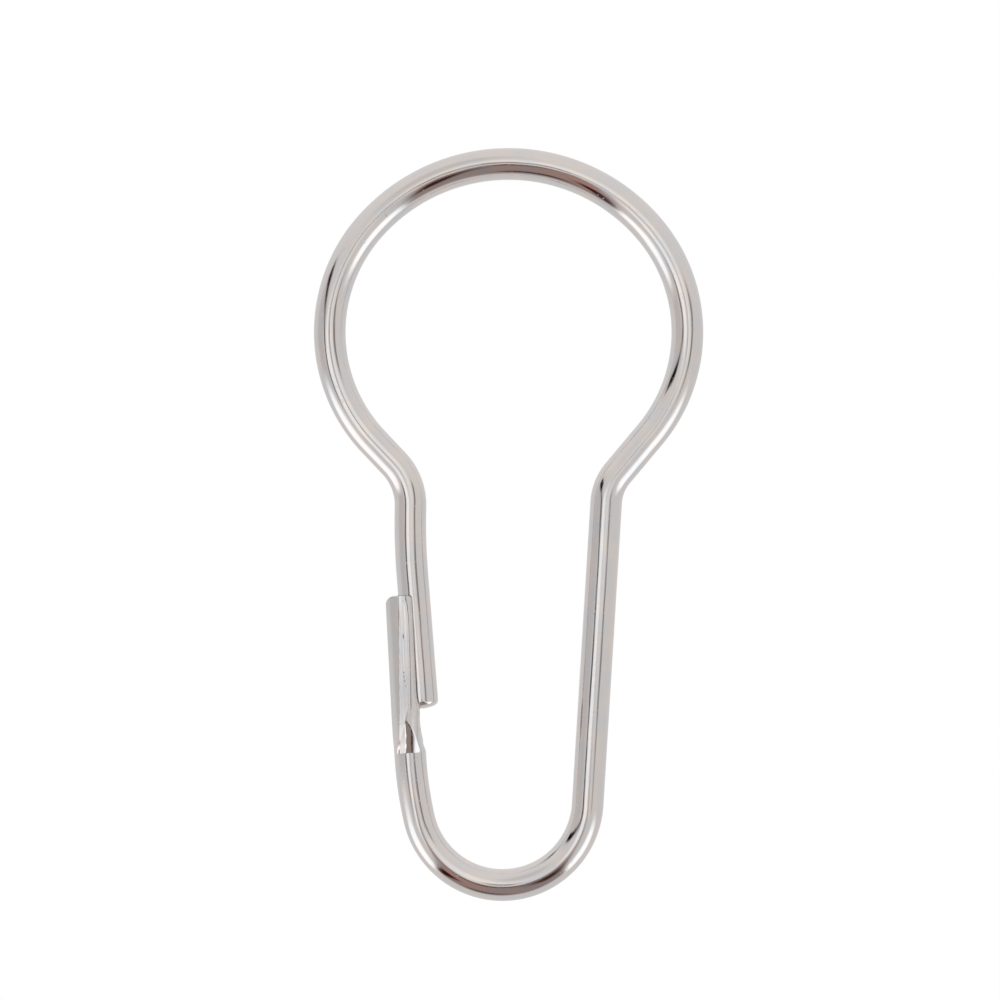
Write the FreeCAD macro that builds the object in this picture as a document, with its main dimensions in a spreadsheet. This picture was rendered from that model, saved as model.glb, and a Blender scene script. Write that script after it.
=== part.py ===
import FreeCAD, Part
import math
import os
import Sketcher

# A curtain hook bent from one length of round spring wire.
# Seen from the front, looking along +Y, it hangs upright: a round loop for the rod at the top,
# a long bow for the curtain below it, and on the left a free leg that snaps into a channel
# pressed in the other end of the same wire.
# The origin is the middle of the loop, and the wire's middle line lies in the XZ plane.

# Driving sizes, in millimetres and degrees. Angles of turn are how far the wire is bent.
SIZES = {
    "wire_diameter": 3.0,
    # the loop, along the middle of the wire, and the turn of the arc that tops it
    "loop_width": 33.43,
    "crown_rise": 15.73,
    "crown_turn": 99.96,
    "side_radius": 14.87,
    # left: from the loop's side down to the free leg's tip
    "gate_side_turn": 133.4,
    "gate_flank": 2.84,
    "gate_neck_radius": 5.6,
    "gate_neck_turn": 44.8,
    "gate_sweep_radius": 61.3,
    "gate_lean": 4.5,
    "gate_tip_depth": 35.2,
    "tip_dome_radius": 2.85,
    "tip_corner_radius": 0.6,
    "tip_length": 1.2,
    # right: from the loop's side down to the bow
    "back_side_turn": 130.0,
    "back_flank": 4.69,
    "back_neck_radius": 4.73,
    "back_neck_turn": 36.5,
    # the bow, whose depth is from the free leg's tip to its lowest point, so it moves with the latch
    "bow_depth": 16.47,
    "bow_lead_radius": 38.0,
    # how the free leg lies in the latch
    "latch_lap": 9.53,
    "latch_play": 0.15,
    "latch_taper": 1.5,
    # the pressed latch channel
    "latch_length": 14.65,
    "latch_width": 4.6,
    "latch_web": 0.98,
    "latch_reach": 0.95,
    "latch_lip_radius": 0.62,
    "latch_corner_radius": 1.0,
    "mouth_back_round": 0.8,
    "mouth_lip_round": 0.4,
    # the flare from the round wire to the channel, and the scoop that the slot ends in
    "flare_length": 5.7,
    "flare_reach": 1.4,
    "crease_step": 0.02,
    "scoop_height": 5.2,
    "scoop_radius": 4.5,
}

# What stands past a surface that a cut goes through, so that the cut is clean.
OVERRUN = 1.0
# Length of the flats on the flare's first section, which is all but round.
SMALL_FLAT = 0.04
# Sections of the flare between the crease and the channel, as shares of its length, of its growth
# in width, of the round wire's corners that are left at the back, and of those left at the lip.
FLARE_SECTIONS = {
    "flare_foot": (0.16, 0.65, 0.0, 1.0),
    "flare_shoulder": (0.68, 0.98, 0.0, 0.45),
}
# How much of the foot's half width its lip's radius takes.
FOOT_ROUND = 0.86
# The normal of every sketch, in the sketch's own frame.
UP = FreeCAD.Vector(0, 0, 1)


def add_sheet(doc):
    """Write the driving sizes to a spreadsheet, one aliased cell each."""
    sheet = doc.addObject("Spreadsheet::Sheet", "Sizes")
    for row, (alias, value) in enumerate(SIZES.items(), start=1):
        sheet.set(f"A{row}", alias)
        sheet.set(f"B{row}", str(value))
        sheet.setAlias(f"B{row}", alias)
    doc.recompute()
    return sheet


def origin_plane(body, role):
    """One of the body's own origin planes."""
    return next(item for item in body.Origin.OriginFeatures if item.Role == role)


def add_sketch(body, name, support, offset=None):
    """An empty sketch on a plane of the body."""
    sketch = body.newObject("Sketcher::SketchObject", name)
    sketch.AttachmentSupport = [(support, "")]
    sketch.MapMode = "FlatFace"
    if offset is not None:
        sketch.AttachmentOffset = offset
    return sketch


def worth(item, formula):
    """The number that a formula over the sheet's cells stands for."""
    return float(item.evalExpression(formula))


def size_rule(sketch, name, formula, kind, *places):
    """A named dimension of the sketch, worked out from the sheet."""
    value = worth(sketch, formula)
    if kind == "Angle":
        value = math.radians(value)
    index = sketch.addConstraint(Sketcher.Constraint(kind, *places, value))
    sketch.renameConstraint(index, name)
    sketch.setExpression(f"Constraints.{name}", formula)


def measure(sketch, name, *constraint):
    """A named dimension that only reads what the sketch has worked out."""
    index = sketch.addConstraint(Sketcher.Constraint(*constraint))
    sketch.setDriving(index, False)
    sketch.renameConstraint(index, name)


def direction(degrees):
    """A unit vector in the sketch's plane."""
    angle = math.radians(degrees)
    return FreeCAD.Vector(math.cos(angle), math.sin(angle), 0)


def to_left(vector):
    """The vector turned a quarter turn anticlockwise."""
    return FreeCAD.Vector(-vector.y, vector.x, 0)


ENTRY_OF_ARC = {True: 1, False: 2}


class Trace:
    """A wire drawn stroke by stroke in a sketch, each stroke tangent to the last."""

    def __init__(self, sketch, point, heading, stroke=None, end=None):
        self.sketch = sketch
        self.point = point
        self.heading = heading
        self.stroke = stroke
        self.end = end

    def join(self, stroke, entry, leaving):
        if self.stroke is not None:
            rule = Sketcher.Constraint("Tangent", self.stroke, self.end, stroke, entry)
            self.sketch.addConstraint(rule)
        self.stroke = stroke
        self.end = leaving
        return stroke

    def straight(self, length):
        start = self.point
        self.point = start + direction(self.heading) * length
        stroke = self.sketch.addGeometry(Part.LineSegment(start, self.point), False)
        return self.join(stroke, 1, 2)

    def bend(self, radius, turn):
        """An arc that turns left where turn is positive and right where it is negative."""
        side = math.copysign(1, turn)
        outward = to_left(direction(self.heading)) * -side
        centre = self.point - outward * radius
        first = math.degrees(math.atan2(outward.y, outward.x))
        low, high = sorted((first, first + turn))
        circle = Part.Circle(centre, UP, radius)
        arc = Part.ArcOfCircle(circle, math.radians(low), math.radians(high))
        stroke = self.sketch.addGeometry(arc, False)
        self.heading += turn
        self.point = centre + direction(first + turn) * radius
        entry = ENTRY_OF_ARC[turn > 0]
        return self.join(stroke, entry, 3 - entry)


def crown(size):
    """Radius and centre height of the arc that tops the loop, tangent to the arcs of its sides."""
    apart = size("loop_width") / 2 - size("side_radius")
    radius = size("side_radius") + apart / math.sin(math.radians(size("crown_turn") / 2))
    return radius, size("crown_rise") - radius


BOW_BOTTOM = "Sizes.gate_tip_depth + Sizes.bow_depth"


def bow_bottom_height(size):
    """Height of the wire's lowest point, on its middle line."""
    return -(size("gate_tip_depth") + size("bow_depth"))


def bow_circle(size, leg_point, leg_heading, lead_centre):
    """Centre and radius of the bow: it touches the long leg, the lowest line and the lead arc."""
    lowest = bow_bottom_height(size)
    inward = to_left(direction(leg_heading)) * -1

    def centre(radius):
        height = lowest + radius
        shift = (radius - inward.y * (height - leg_point.y)) / inward.x
        return FreeCAD.Vector(leg_point.x + shift, height, 0)

    start = centre(0)
    slope = centre(1) - start
    apart = start - lead_centre
    lead_radius = size("bow_lead_radius")
    square = slope.dot(slope) - 1
    linear = 2 * (apart.dot(slope) + lead_radius)
    constant = apart.dot(apart) - lead_radius ** 2
    root = math.sqrt(linear ** 2 - 4 * square * constant)
    options = [(-linear + sign * root) / (2 * square) for sign in (1, -1)]
    radius = min(value for value in options if value > 0)
    return centre(radius), radius


def draw_centre_line(sketch, sheet):
    """The middle of the wire, from the free leg's tip round to the crease where the latch starts."""

    def size(alias):
        return getattr(sheet, alias)

    # crown and loop sides
    crown_radius, crown_height = crown(size)
    crown_half = size("crown_turn") / 2
    crown_centre = FreeCAD.Vector(0, crown_height, 0)
    top_arc = Part.ArcOfCircle(Part.Circle(crown_centre, UP, crown_radius),
                               math.radians(90 - crown_half), math.radians(90 + crown_half))
    crown_arc = sketch.addGeometry(top_arc, False)
    left_start = crown_centre + direction(90 + crown_half) * crown_radius
    right_start = crown_centre + direction(90 - crown_half) * crown_radius

    # left: side, flank, neck, long sweep and free leg
    gate = Trace(sketch, left_start, 180 + crown_half, crown_arc, 2)
    gate_side = gate.bend(size("side_radius"), size("gate_side_turn") - crown_half)
    gate_flank = gate.straight(size("gate_flank"))
    gate_neck = gate.bend(size("gate_neck_radius"), -size("gate_neck_turn"))
    sweep_turn = 270 + size("gate_lean") - gate.heading
    gate_sweep = gate.bend(size("gate_sweep_radius"), sweep_turn)
    drop = gate.point.y + size("gate_tip_depth") - size("tip_length")
    gate_leg = gate.straight(drop / math.cos(math.radians(size("gate_lean"))))
    tip = gate.point

    # right: side, flank, neck and long leg
    back = Trace(sketch, right_start, -crown_half, crown_arc, 1)
    back_side = back.bend(size("side_radius"), crown_half - size("back_side_turn"))
    back_flank = back.straight(size("back_flank"))
    back_neck = back.bend(size("back_neck_radius"), size("back_neck_turn"))

    # the channel's line: it leans a little less than the free leg, and starts beside it
    leg_way = direction(gate.heading)
    aside = to_left(leg_way) * -1
    lap_point = tip - leg_way * size("latch_lap")
    mouth = lap_point + aside * (size("latch_web") + size("latch_play"))
    channel_way = direction(gate.heading - size("latch_taper"))
    crease = mouth + channel_way * size("latch_length")

    # the bow: long leg, round bottom and the long lead arc up to the crease
    inward = to_left(channel_way)
    lead_centre = crease + inward * size("bow_lead_radius")
    bow_centre, bow_radius = bow_circle(size, back.point, back.heading, lead_centre)
    touch = bow_centre + to_left(direction(back.heading)) * bow_radius
    back_leg = back.straight((touch - back.point).Length)
    toward = bow_centre - lead_centre
    meet = math.degrees(math.atan2(toward.y, toward.x))
    bow_turn = (back.heading + 90 - meet) % 360
    bow = back.bend(bow_radius, -bow_turn)
    lead_turn = back.heading % 360 - (90 - size("latch_taper") + size("gate_lean"))
    lead = back.bend(size("bow_lead_radius"), -lead_turn)

    # construction lines: the channel's line, and its step from the free leg
    channel = sketch.addGeometry(Part.LineSegment(crease, mouth), True)
    sketch.addConstraint(Sketcher.Constraint("Tangent", lead, 1, channel, 1))
    step = sketch.addGeometry(Part.LineSegment(lap_point, mouth), True)
    sketch.addConstraint(Sketcher.Constraint("Coincident", step, 2, channel, 2))
    sketch.addConstraint(Sketcher.Constraint("PointOnObject", step, 1, gate_leg))
    sketch.addConstraint(Sketcher.Constraint("Perpendicular", step, gate_leg))
    crown_top = sketch.addGeometry(Part.Point(FreeCAD.Vector(0, size("crown_rise"), 0)), True)
    lowest = FreeCAD.Vector(bow_centre.x, bow_bottom_height(size), 0)
    bow_bottom = sketch.addGeometry(Part.Point(lowest), True)

    # where the loop stands
    for rule in (
        ("PointOnObject", crown_arc, 3, -2),
        ("PointOnObject", crown_top, 1, -2),
        ("PointOnObject", crown_top, 1, crown_arc),
        ("Equal", gate_side, back_side),
        ("PointOnObject", bow_bottom, 1, bow),
        ("Vertical", bow_bottom, 1, bow, 3),
    ):
        sketch.addConstraint(Sketcher.Constraint(*rule))
    size_rule(sketch, "crown_rise", "Sizes.crown_rise", "DistanceY", -1, 1, crown_top, 1)
    size_rule(sketch, "crown_turn", "Sizes.crown_turn", "Angle", crown_arc)
    side_centre = "Sizes.loop_width / 2 - Sizes.side_radius"
    size_rule(sketch, "gate_side_centre", side_centre, "DistanceX", gate_side, 3, -1, 1)
    size_rule(sketch, "back_side_centre", side_centre, "DistanceX", -1, 1, back_side, 3)
    size_rule(sketch, "bow_bottom", BOW_BOTTOM, "DistanceY", bow_bottom, 1, -1, 1)

    # radii, lengths and turns
    for kind, name, stroke in (
        ("Radius", "side_radius", gate_side),
        ("Radius", "gate_neck_radius", gate_neck),
        ("Radius", "gate_sweep_radius", gate_sweep),
        ("Radius", "back_neck_radius", back_neck),
        ("Radius", "bow_lead_radius", lead),
        ("Distance", "gate_flank", gate_flank),
        ("Distance", "back_flank", back_flank),
        ("Distance", "latch_length", channel),
        ("Angle", "gate_neck_turn", gate_neck),
        ("Angle", "back_neck_turn", back_neck),
    ):
        size_rule(sketch, name, f"Sizes.{name}", kind, stroke)
    size_rule(sketch, "gate_side_turn", "Sizes.gate_side_turn - 180", "Angle", gate_flank)
    size_rule(sketch, "back_side_turn", "-Sizes.back_side_turn", "Angle", back_flank)
    size_rule(sketch, "gate_lean", "Sizes.gate_lean - 90", "Angle", gate_leg)
    size_rule(sketch, "gate_tip", "Sizes.gate_tip_depth - Sizes.tip_length",
              "DistanceY", gate_leg, 2, -1, 1)
    size_rule(sketch, "latch_lap", "Sizes.latch_lap", "Distance", gate_leg, 2, step, 1)
    size_rule(sketch, "latch_step", "Sizes.latch_web + Sizes.latch_play", "Distance", step)
    size_rule(sketch, "channel_lean", "90 + Sizes.gate_lean - Sizes.latch_taper",
              "Angle", channel)

    # places that the latch and the tip are built from
    measure(sketch, "tip_x", "DistanceX", -1, 1, gate_leg, 2, tip.x)
    measure(sketch, "tip_z", "DistanceY", -1, 1, gate_leg, 2, tip.y)
    measure(sketch, "crease_x", "DistanceX", -1, 1, channel, 1, crease.x)
    measure(sketch, "crease_z", "DistanceY", -1, 1, channel, 1, crease.y)


def bind(item, prop, formula):
    """Tie a property of a feature to the sheet."""
    item.setExpression(prop, formula)


def latch_frame(sketch, spot, lean):
    """Lay a sketch of the XZ plane at a spot of the centre line, its Y axis up the wire there."""
    turn = FreeCAD.Rotation(FreeCAD.Vector(0, 0, 1), worth(sketch, lean))
    place = FreeCAD.Vector(worth(sketch, f"centre_line.Constraints.{spot}_x"),
                           worth(sketch, f"centre_line.Constraints.{spot}_z"), 0)
    sketch.AttachmentOffset = FreeCAD.Placement(place, turn)
    bind(sketch, "AttachmentOffset.Base.x", f"centre_line.Constraints.{spot}_x")
    bind(sketch, "AttachmentOffset.Base.y", f"centre_line.Constraints.{spot}_z")
    bind(sketch, "AttachmentOffset.Rotation.Angle", lean)


GATE_LEAN = "Sizes.gate_lean"
LATCH_LEAN = "Sizes.gate_lean - Sizes.latch_taper"


def add_crease_plane(body):
    """A plane across the wire at the crease: X points into the hook, Y to the back."""
    plane = body.newObject("PartDesign::Plane", "crease_plane")
    plane.AttachmentSupport = [(origin_plane(body, "XY_Plane"), "")]
    plane.MapMode = "FlatFace"
    turn = FreeCAD.Rotation(FreeCAD.Vector(0, -1, 0), worth(plane, LATCH_LEAN))
    place = FreeCAD.Vector(worth(plane, "centre_line.Constraints.crease_x"), 0,
                           worth(plane, "centre_line.Constraints.crease_z"))
    plane.AttachmentOffset = FreeCAD.Placement(place, turn)
    bind(plane, "AttachmentOffset.Base.x", "centre_line.Constraints.crease_x")
    bind(plane, "AttachmentOffset.Base.z", "centre_line.Constraints.crease_z")
    bind(plane, "AttachmentOffset.Rotation.Angle", LATCH_LEAN)
    return plane


def add_section(body, name, plane, rules):
    """A rounded box across the channel, from formulas for its height, back, lip, width and radii."""
    lift = FreeCAD.Vector(0, 0, worth(body, rules["height"]))
    sketch = add_sketch(body, name, plane, FreeCAD.Placement(lift, FreeCAD.Rotation()))
    bind(sketch, "AttachmentOffset.Base.z", rules["height"])
    back, lip = -worth(body, rules["back"]), worth(body, rules["lip"])
    half = worth(body, rules["width"]) / 2
    corner, edge = worth(body, rules["corner"]), worth(body, rules["edge"])
    outline = Trace(sketch, FreeCAD.Vector(back + corner, -half, 0), 0)
    front = outline.straight(lip - back - corner - edge)
    front_edge = outline.bend(edge, 90)
    mouth = outline.straight(2 * (half - edge))
    rear_edge = outline.bend(edge, 90)
    rear = outline.straight(lip - back - corner - edge)
    rear_corner = outline.bend(corner, 90)
    web = outline.straight(2 * (half - corner))
    front_corner = outline.bend(corner, 90)
    for rule in (
        ("Tangent", front_corner, 2, front, 1),
        ("Horizontal", front),
        ("Horizontal", rear),
        ("Vertical", web),
        ("Equal", front_edge, rear_edge),
        ("Equal", front_corner, rear_corner),
        ("Symmetric", mouth, 1, mouth, 2, -1),
    ):
        sketch.addConstraint(Sketcher.Constraint(*rule))
    size_rule(sketch, "corner", rules["corner"], "Radius", front_corner)
    size_rule(sketch, "edge", rules["edge"], "Radius", front_edge)
    size_rule(sketch, "back", rules["back"], "DistanceX", web, 1, -1, 1)
    size_rule(sketch, "lip", rules["lip"], "DistanceX", -1, 1, mouth, 1)
    size_rule(sketch, "width", rules["width"], "DistanceY", front, 1, rear, 2)
    return sketch


def flare_rules(height, width, back_round, lip_round):
    """Formulas for a section of the flare, from its shares."""
    wire_radius = "Sizes.wire_diameter / 2"
    spread = "(Sizes.latch_width - Sizes.wire_diameter)"
    foot_width = FLARE_SECTIONS["flare_foot"][1]
    foot_edge = f"(Sizes.wire_diameter + {spread} * {foot_width}) / 2 * {FOOT_ROUND}"
    corner, edge = "Sizes.latch_corner_radius", "Sizes.latch_lip_radius"
    return {
        "height": f"Sizes.flare_length * {height}",
        "back": wire_radius,
        "lip": "Sizes.flare_reach",
        "width": f"Sizes.wire_diameter + {spread} * {width}",
        "corner": f"{corner} + ({wire_radius} - {corner}) * {back_round}",
        "edge": f"{edge} + ({foot_edge} - {edge}) * {lip_round}",
    }


def add_channel(body, plane):
    """The pressed wire end, still solid: a flare from round to flat-sided, then the long channel."""
    half = "(Sizes.wire_diameter / 2 + Sizes.crease_step)"
    corner = f"{half} - {SMALL_FLAT}"
    crease = add_section(body, "crease_section", plane, {
        "height": "0", "back": half, "lip": half, "width": f"2 * {half}",
        "corner": corner, "edge": corner,
    })
    between = [add_section(body, name, plane, flare_rules(*shares))
               for name, shares in FLARE_SECTIONS.items()]
    root = add_section(body, "channel_section", plane, {
        "height": "Sizes.flare_length", "back": "Sizes.wire_diameter / 2",
        "lip": "Sizes.latch_reach", "width": "Sizes.latch_width",
        "corner": "Sizes.latch_corner_radius", "edge": "Sizes.latch_lip_radius",
    })
    flare = body.newObject("PartDesign::AdditiveLoft", "flare")
    flare.Profile = crease
    flare.Sections = between + [root]
    channel = body.newObject("PartDesign::Pad", "channel")
    channel.Profile = root
    bind(channel, "Length", "Sizes.latch_length - Sizes.flare_length")


SLOT_RADIUS = "(Sizes.wire_diameter / 2 + Sizes.latch_play)"
SLOT_CENTRE = f"(Sizes.latch_web + {SLOT_RADIUS} - Sizes.wire_diameter / 2)"
SCOOP_TURN = 75


def add_slot(body, plane):
    """The round-bottomed slot that the free leg lies in; its lower end scoops up to the surface."""
    top = f"Sizes.latch_length + {OVERRUN}"
    centre, radius = worth(body, SLOT_CENTRE), worth(body, SLOT_RADIUS)

    path = add_sketch(body, "slot_path", origin_plane(body, "XZ_Plane"))
    latch_frame(path, "crease", LATCH_LEAN)
    start = FreeCAD.Vector(centre, worth(body, top), 0)
    way = Trace(path, start, 270)
    run = way.straight(start.y - worth(body, "Sizes.scoop_height"))
    scoop = way.bend(worth(body, "Sizes.scoop_radius"), SCOOP_TURN)
    path.addConstraint(Sketcher.Constraint("Vertical", run))
    size_rule(path, "centre", SLOT_CENTRE, "DistanceX", -1, 1, run, 1)
    size_rule(path, "top", top, "DistanceY", -1, 1, run, 1)
    size_rule(path, "scoop_height", "Sizes.scoop_height", "DistanceY", -1, 1, run, 2)
    size_rule(path, "scoop_radius", "Sizes.scoop_radius", "Radius", scoop)
    size_rule(path, "scoop_turn", str(SCOOP_TURN), "Angle", scoop)

    lift = FreeCAD.Vector(0, 0, worth(body, top))
    punch = add_sketch(body, "slot_section", plane, FreeCAD.Placement(lift, FreeCAD.Rotation()))
    bind(punch, "AttachmentOffset.Base.z", top)
    outer = "Sizes.wire_diameter / 2"
    outline = Trace(punch, FreeCAD.Vector(centre, radius, 0), 180)
    bottom = outline.bend(radius, 180)
    near = outline.straight(worth(body, outer))
    far_corner = outline.point + FreeCAD.Vector(0, 2 * radius, 0)
    lid = punch.addGeometry(Part.LineSegment(outline.point, far_corner), False)
    far = punch.addGeometry(Part.LineSegment(far_corner, FreeCAD.Vector(centre, radius, 0)), False)
    for rule in (
        ("Coincident", near, 2, lid, 1),
        ("Coincident", lid, 2, far, 1),
        ("Tangent", far, 2, bottom, 1),
        ("Horizontal", near),
        ("Horizontal", far),
        ("Vertical", lid),
        ("PointOnObject", bottom, 3, -1),
    ):
        punch.addConstraint(Sketcher.Constraint(*rule))
    size_rule(punch, "centre", SLOT_CENTRE, "DistanceX", -1, 1, bottom, 3)
    size_rule(punch, "radius", SLOT_RADIUS, "Radius", bottom)
    size_rule(punch, "reach", outer, "Distance", near)

    slot = body.newObject("PartDesign::SubtractivePipe", "slot")
    slot.Profile = punch
    slot.Spine = (path, [])
    return slot


def add_mouth_trim(body):
    """Round the channel's top end as seen from the front, at its back and at its lip."""
    sketch = add_sketch(body, "mouth_outline", origin_plane(body, "XZ_Plane"))
    latch_frame(sketch, "crease", LATCH_LEAN)
    top = worth(body, "Sizes.latch_length")
    back, lip = -worth(body, "Sizes.wire_diameter / 2"), worth(body, "Sizes.latch_reach")
    for name, side, edge_x, edge_rule in (
        ("mouth_back_round", -1, back, ("DistanceX", "Sizes.wire_diameter / 2")),
        ("mouth_lip_round", 1, lip, ("DistanceX", "Sizes.latch_reach")),
    ):
        radius = worth(body, f"Sizes.{name}")
        low = FreeCAD.Vector(edge_x, top - radius, 0)
        high = FreeCAD.Vector(edge_x - side * radius, top, 0)
        outer = edge_x + side * OVERRUN
        corners = [low, FreeCAD.Vector(outer, low.y, 0), FreeCAD.Vector(outer, top + OVERRUN, 0),
                   FreeCAD.Vector(high.x, top + OVERRUN, 0), high]
        sides = [sketch.addGeometry(Part.LineSegment(start, end), False)
                 for start, end in zip(corners, corners[1:])]
        centre = FreeCAD.Vector(high.x, low.y, 0)
        span = (0, 90) if side > 0 else (90, 180)
        arc = sketch.addGeometry(Part.ArcOfCircle(
            Part.Circle(centre, UP, radius), *map(math.radians, span)), False)
        low_end, high_end = (1, 2) if side > 0 else (2, 1)
        rules = [("Coincident", first, 2, second, 1) for first, second in zip(sides, sides[1:])]
        rules += [
            ("Coincident", arc, low_end, sides[0], 1),
            ("Coincident", arc, high_end, sides[3], 2),
            ("Horizontal", sides[0]),
            ("Vertical", sides[1]),
            ("Horizontal", sides[2]),
            ("Vertical", sides[3]),
            ("Horizontal", arc, 3, arc, low_end),
            ("Vertical", arc, 3, arc, high_end),
        ]
        for rule in rules:
            sketch.addConstraint(Sketcher.Constraint(*rule))
        size_rule(sketch, name, f"Sizes.{name}", "Radius", arc)
        ends = (-1, 1, sides[0], 1) if side > 0 else (sides[0], 1, -1, 1)
        size_rule(sketch, f"{name}_edge", edge_rule[1], edge_rule[0], *ends)
        size_rule(sketch, f"{name}_top", "Sizes.latch_length", "DistanceY", -1, 1, sides[3], 2)
        size_rule(sketch, f"{name}_over", str(OVERRUN), "Distance", sides[0])
        size_rule(sketch, f"{name}_above", str(OVERRUN), "Distance", sides[3])
    trim = body.newObject("PartDesign::Pocket", "mouth_trim")
    trim.Profile = sketch
    trim.SideType = "Symmetric"
    trim.Length = worth(body, "Sizes.latch_width") + 2 * OVERRUN
    bind(trim, "Length", f"Sizes.latch_width + {2 * OVERRUN}")
    return trim


def add_wire(body, line, plane):
    """The round wire, swept along the whole centre line from the crease to the free leg."""
    across = add_sketch(body, "wire_section", plane)
    rim = Part.Circle(FreeCAD.Vector(0, 0, 0), UP, worth(body, "Sizes.wire_diameter / 2"))
    circle = across.addGeometry(rim, False)
    across.addConstraint(Sketcher.Constraint("Coincident", circle, 3, -1, 1))
    size_rule(across, "wire_diameter", "Sizes.wire_diameter", "Diameter", circle)
    wire = body.newObject("PartDesign::AdditivePipe", "wire")
    wire.Profile = across
    wire.Spine = (line, [])
    return wire


def add_tip(body):
    """The free leg's end: a shallow dome with a rounded corner, turned about the leg."""
    sketch = add_sketch(body, "tip_outline", origin_plane(body, "XZ_Plane"))
    latch_frame(sketch, "tip", GATE_LEAN)
    radius = worth(body, "Sizes.wire_diameter / 2")
    length, dome = worth(body, "Sizes.tip_length"), worth(body, "Sizes.tip_dome_radius")
    corner = worth(body, "Sizes.tip_corner_radius")
    # the dome's centre is on the axis; the corner arc touches the dome and the leg's side
    dome_centre = FreeCAD.Vector(0, dome - length, 0)
    inset = radius - corner
    fall = math.sqrt((dome - corner) ** 2 - inset ** 2)
    corner_centre = FreeCAD.Vector(inset, dome_centre.y - fall, 0)
    meet = math.atan2(corner_centre.y - dome_centre.y, corner_centre.x)
    bottom = sketch.addGeometry(Part.ArcOfCircle(
        Part.Circle(dome_centre, UP, dome), -math.pi / 2, meet), False)
    round_corner = sketch.addGeometry(Part.ArcOfCircle(
        Part.Circle(corner_centre, UP, corner), meet, 0), False)
    side = sketch.addGeometry(Part.LineSegment(
        FreeCAD.Vector(radius, corner_centre.y, 0), FreeCAD.Vector(radius, 0, 0)), False)
    lid = sketch.addGeometry(Part.LineSegment(
        FreeCAD.Vector(radius, 0, 0), FreeCAD.Vector(0, 0, 0)), False)
    axis = sketch.addGeometry(Part.LineSegment(
        FreeCAD.Vector(0, 0, 0), FreeCAD.Vector(0, -length, 0)), False)
    for rule in (
        ("Tangent", bottom, 2, round_corner, 1),
        ("Tangent", round_corner, 2, side, 1),
        ("Coincident", side, 2, lid, 1),
        ("Coincident", lid, 2, axis, 1),
        ("Coincident", axis, 2, bottom, 1),
        ("Coincident", axis, 1, -1, 1),
        ("Vertical", side),
        ("Vertical", axis),
        ("Horizontal", lid),
        ("PointOnObject", bottom, 3, -2),
    ):
        sketch.addConstraint(Sketcher.Constraint(*rule))
    size_rule(sketch, "tip_length", "Sizes.tip_length", "Distance", axis)
    size_rule(sketch, "half_wire", "Sizes.wire_diameter / 2", "Distance", lid)
    size_rule(sketch, "tip_dome_radius", "Sizes.tip_dome_radius", "Radius", bottom)
    size_rule(sketch, "tip_corner_radius", "Sizes.tip_corner_radius", "Radius", round_corner)
    tip = body.newObject("PartDesign::Revolution", "tip")
    tip.Profile = sketch
    tip.ReferenceAxis = (sketch, ["V_Axis"])
    tip.Angle = 360
    return tip


def check(doc):
    """Stop if anything in the document failed, or the hook isn't one sound solid."""
    for item in doc.Objects:
        if any(word in item.State for word in ("Invalid", "Error")):
            raise RuntimeError(f"{item.Name} failed: {item.State}")
    shape = doc.getObject("hook").Shape
    if shape.isNull() or not shape.isValid() or len(shape.Solids) != 1:
        raise RuntimeError("the hook is not one valid solid")


def main():
    doc = FreeCAD.newDocument("curtain_hook")
    sheet = add_sheet(doc)
    body = doc.addObject("PartDesign::Body", "hook")
    body.Label = "hook"
    line = add_sketch(body, "centre_line", origin_plane(body, "XZ_Plane"))
    draw_centre_line(line, sheet)
    doc.recompute()
    plane = add_crease_plane(body)
    doc.recompute()
    add_channel(body, plane)
    doc.recompute()
    solid_end = body.Shape.Volume
    add_slot(body, plane)
    doc.recompute()
    slotted_end = body.Shape.Volume
    if slotted_end >= solid_end:
        raise RuntimeError("the slot cut nothing")
    add_mouth_trim(body)
    doc.recompute()
    if body.Shape.Volume >= slotted_end:
        raise RuntimeError("the mouth's rounding cut nothing")
    add_wire(body, line, plane)
    add_tip(body)
    doc.recompute()
    check(doc)
    os.makedirs("parts", exist_ok=True)
    body.Shape.exportStep(f"parts/{body.Label}.step")
    print(f"hook: {body.Shape.Volume:.1f} cubic mm")


main()
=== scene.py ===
# %% [markdown]
# # A curtain hook of bright plated wire
# The real hook is one length of 3 mm spring wire. It is bent into a round loop for the rod and a
# long bow for the curtain. One end of the wire is cut short and domed. The other end is pressed
# flat into a channel, and the free leg snaps into it. The whole thing is then plated.
# The imported model is loaded first, and its box is kept.

# %% Load the imported model
import math

import bmesh
import bpy
from mathutils import Matrix, Vector


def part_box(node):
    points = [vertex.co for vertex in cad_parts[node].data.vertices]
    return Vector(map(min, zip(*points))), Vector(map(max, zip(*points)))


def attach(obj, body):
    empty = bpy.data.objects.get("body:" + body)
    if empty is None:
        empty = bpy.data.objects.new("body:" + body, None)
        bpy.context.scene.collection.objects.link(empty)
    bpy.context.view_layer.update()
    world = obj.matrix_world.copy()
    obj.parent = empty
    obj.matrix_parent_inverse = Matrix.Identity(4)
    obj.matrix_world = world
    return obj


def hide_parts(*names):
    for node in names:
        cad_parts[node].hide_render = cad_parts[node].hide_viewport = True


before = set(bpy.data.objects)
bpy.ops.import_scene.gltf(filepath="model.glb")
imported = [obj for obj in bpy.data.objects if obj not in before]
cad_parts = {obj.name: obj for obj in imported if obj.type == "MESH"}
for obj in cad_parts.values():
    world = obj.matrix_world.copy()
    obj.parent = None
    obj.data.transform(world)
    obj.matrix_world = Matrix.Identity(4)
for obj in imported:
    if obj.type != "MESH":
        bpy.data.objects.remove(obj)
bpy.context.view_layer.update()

MM = 0.001
hook_low, hook_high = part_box("hook")
hook_size = (hook_high - hook_low) / MM
print("CAD hook, mm:", [round(side, 2) for side in hook_size])

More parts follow.
